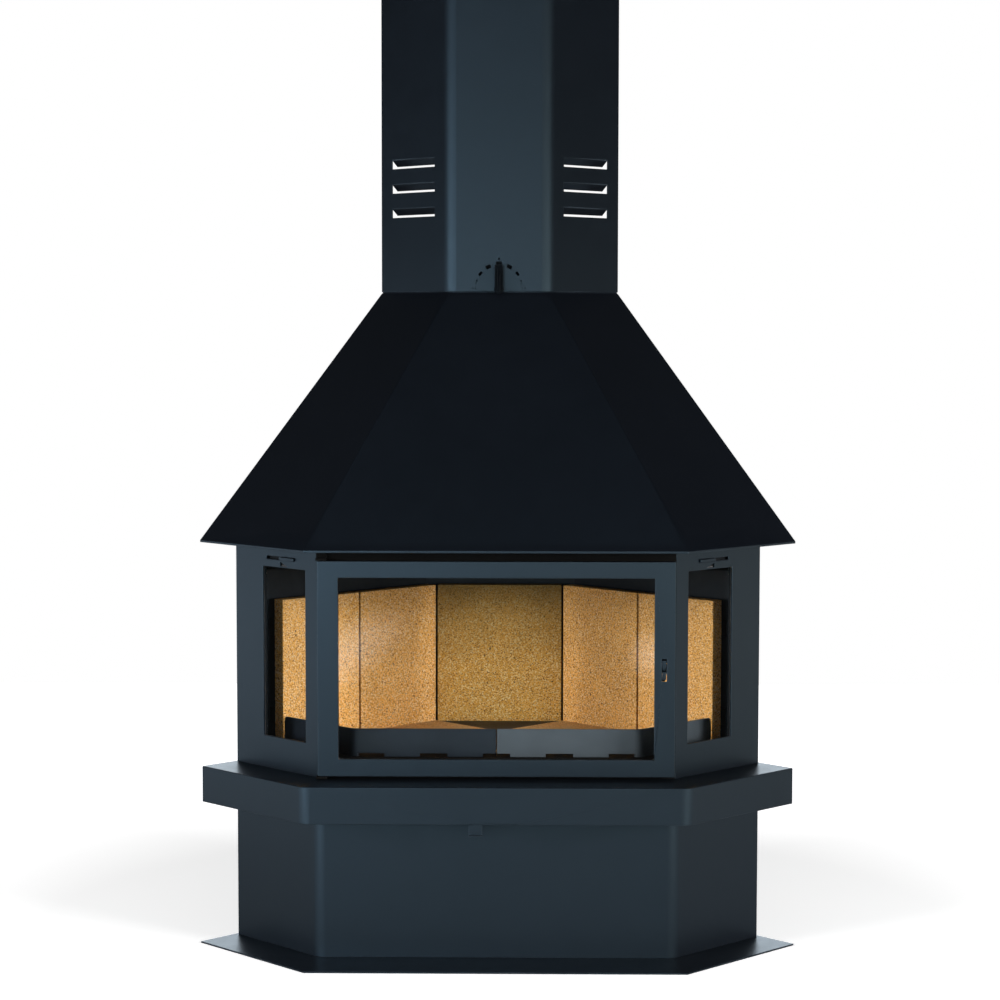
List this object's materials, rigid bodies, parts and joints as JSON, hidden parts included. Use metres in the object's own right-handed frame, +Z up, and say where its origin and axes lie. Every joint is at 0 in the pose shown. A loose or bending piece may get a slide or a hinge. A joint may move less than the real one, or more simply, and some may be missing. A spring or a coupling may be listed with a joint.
{
  "type": "wood-burning corner fireplace",
  "caption": "Freestanding corner fireplace in painted sheet steel: ledge, brick-lined firebox with a hinged glass door and side windows, flared hood, louvred casing, flue and damper.",
  "frame": {"origin": "on the floor, under the middle of the width and of the depth", "axes": "+Z up, +Y from the front towards the corner of the room, +X to the right as seen from the front"},
  "size_m": [1.11, 0.626, 1.84],
  "materials": {
    "anthracite_paint": "matt heat-resistant anthracite paint with a fine texture",
    "dark_steel": "matt black heat-resistant paint",
    "fire_brick": "speckled light brown fire board",
    "cast_iron": "raw cast",
    "glass": "clear glass ceramic",
    "rope": "woven black glass fibre",
    "bright_steel": "zinc plated"
  },
  "bodies": {
    "root": {"floor_plate": "anthracite_paint", "plinth_front": "anthracite_paint", "plinth_back": "anthracite_paint", "ledge_shelf": "anthracite_paint", "hood_shell": "anthracite_paint", "casing_shell": "anthracite_paint", "side_panel_left": "anthracite_paint", "side_panel_right": "anthracite_paint", "register_guides": "dark_steel", "hearth_plate": "dark_steel", "front_sill": "dark_steel", "ash_box": "dark_steel", "brick_rails": "dark_steel", "front_frame": "dark_steel", "hinge_brackets": "dark_steel", "firebox_back": "dark_steel", "top_plate": "dark_steel", "baffle_supports": "dark_steel", "side_glass_retainers": "dark_steel", "slider_guides": "dark_steel", "latch_keeper": "dark_steel", "smoke_dome": "dark_steel", "hood_brackets": "dark_steel", "casing_straps": "dark_steel", "flue_pipe": "dark_steel", "back_brick": "fire_brick", "rear_brick_left_inner": "fire_brick", "rear_brick_left_outer": "fire_brick", "rear_brick_right_inner": "fire_brick", "rear_brick_right_outer": "fire_brick", "floor_brick_rear_left": "fire_brick", "floor_brick_rear_right": "fire_brick", "floor_brick_side_left": "fire_brick", "floor_brick_side_right": "fire_brick", "side_glass_left": "glass", "side_glass_right": "glass", "side_glass_gaskets": "rope", "fixing_screws": "bright_steel", "damper_bushes": "bright_steel"},
    "door": {"door_frame": "anthracite_paint", "door_glass": "glass", "door_glass_tape": "rope", "door_glass_retainers": "dark_steel", "door_rope_gasket": "rope", "door_screws": "bright_steel", "hinge_bushes": "anthracite_paint", "latch_bracket": "dark_steel", "latch_pin": "bright_steel"},
    "latch": {"latch_cam": "anthracite_paint"},
    "damper": {"damper_shaft": "bright_steel", "damper_flap": "dark_steel", "damper_knob": "anthracite_paint"},
    "air_slide_left": {"air_slider_left": "anthracite_paint"},
    "air_slide_right": {"air_slider_right": "anthracite_paint"},
    "register": {"air_register": "anthracite_paint"},
    "ash_pan": {"ash_pan": "dark_steel"},
    "grate": {"grate": "cast_iron"},
    "log_guard_left": {"log_guard_left": "dark_steel"},
    "log_guard_right": {"log_guard_right": "dark_steel"},
    "baffle": {"baffle_plate": "dark_steel"}
  },
  "joints": [
    {"name": "door_hinge", "type": "hinge", "parent": "root", "child": "door", "pos_m": [-0.316, -0.225, 0.5365], "axis": [0, 0, -1], "range_deg": [0, 115]},
    {"name": "latch_turn", "type": "hinge", "parent": "door", "child": "latch", "pos_m": [0.303, -0.211, 0.536], "axis": [1, 0, 0], "range_deg": [0, 45]},
    {"name": "damper_turn", "type": "hinge", "parent": "root", "child": "damper", "pos_m": [0, 0.208, 1.2245], "axis": [0, 1, 0], "range_deg": [-90, 90]},
    {"name": "air_slide_right_slide", "type": "slide", "parent": "root", "child": "air_slide_right", "axis": [0.7071, 0.7071, 0], "range_m": [0, 0.04]},
    {"name": "air_slide_left_slide", "type": "slide", "parent": "root", "child": "air_slide_left", "axis": [-0.7071, 0.7071, 0], "range_m": [0, 0.04]},
    {"name": "register_slide", "type": "slide", "parent": "root", "child": "register", "axis": [1, 0, 0], "range_m": [-0.005, 0.077]},
    {"name": "ash_pan_lift", "type": "slide", "parent": "root", "child": "ash_pan", "axis": [0, 0, 1], "range_m": [0, 0.15]},
    {"name": "grate_lift", "type": "slide", "parent": "ash_pan", "child": "grate", "axis": [0, 0, 1], "range_m": [0, 0.12]},
    {"name": "log_guard_left_lift", "type": "slide", "parent": "root", "child": "log_guard_left", "axis": [0, 0, 1], "range_m": [0, 0.08]},
    {"name": "log_guard_right_lift", "type": "slide", "parent": "root", "child": "log_guard_right", "axis": [0, 0, 1], "range_m": [0, 0.08]},
    {"name": "baffle_lift", "type": "slide", "parent": "root", "child": "baffle", "axis": [0, 0, 1], "range_m": [0, 0.03]}
  ]
}
